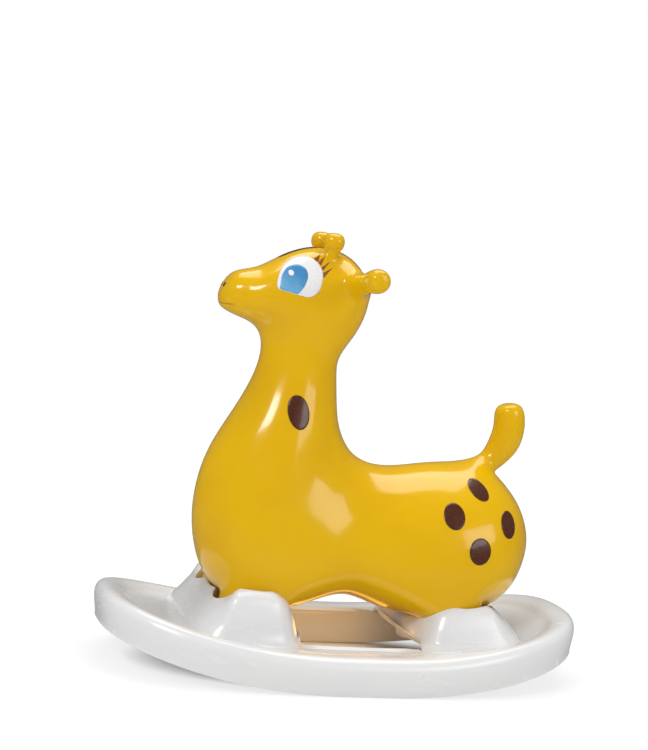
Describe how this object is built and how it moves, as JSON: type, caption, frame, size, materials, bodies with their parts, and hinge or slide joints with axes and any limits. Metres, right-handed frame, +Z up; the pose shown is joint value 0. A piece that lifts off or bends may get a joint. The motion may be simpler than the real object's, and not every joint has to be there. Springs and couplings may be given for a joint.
{
  "type": "inflatable bouncing giraffe on a rocking base",
  "caption": "Inflatable giraffe for a small child to sit on and bounce, with ears as handles, standing with its legs in the sockets of a rigid rocking base.",
  "frame": {"origin": "on the floor under the middle of the base, at rest", "axes": "+Z up, the giraffe looks along -Y, +X is its left side, and the plane x = 0 is the symmetry plane"},
  "size_m": [0.3638, 0.68, 0.5998],
  "materials": {
    "yellow_pvc": "soft glossy yellow PVC",
    "pearl_white_plastic": "rigid pearl white plastic, satin gloss",
    "brown_print": "dark brown ink under the gloss",
    "white_print": "white ink under the gloss",
    "blue_print": "blue ink under the gloss",
    "grey_print": "dark grey ink under the gloss"
  },
  "bodies": {
    "rocker": {"rocker_base": "pearl_white_plastic"},
    "giraffe": {"giraffe_skin": "yellow_pvc", "crown_patch": "brown_print", "eye_glint_left": "white_print", "eye_glint_right": "white_print", "eye_white_left": "white_print", "eye_white_right": "white_print", "iris_left": "blue_print", "iris_right": "blue_print", "lash_1_left": "brown_print", "lash_1_right": "brown_print", "lash_2_left": "brown_print", "lash_2_right": "brown_print", "lash_3_left": "brown_print", "lash_3_right": "brown_print", "lash_4_left": "brown_print", "lash_4_right": "brown_print", "neck_spot_left": "brown_print", "neck_spot_right": "brown_print", "nostril_left": "grey_print", "nostril_right": "grey_print", "rump_spot_1_left": "brown_print", "rump_spot_1_right": "brown_print", "rump_spot_2_left": "brown_print", "rump_spot_2_right": "brown_print", "rump_spot_3_left": "brown_print", "rump_spot_3_right": "brown_print", "rump_spot_4_left": "brown_print", "rump_spot_4_right": "brown_print"},
    "plug": {"air_plug": "yellow_pvc"}
  },
  "joints": [
    {"name": "giraffe_lift", "type": "slide", "parent": "rocker", "child": "giraffe", "axis": [0, 0, 1], "range_m": [0, 0.12]},
    {"name": "plug_pull", "type": "slide", "parent": "giraffe", "child": "plug", "axis": [0, 1, 0], "range_m": [0, 0.03]}
  ]
}
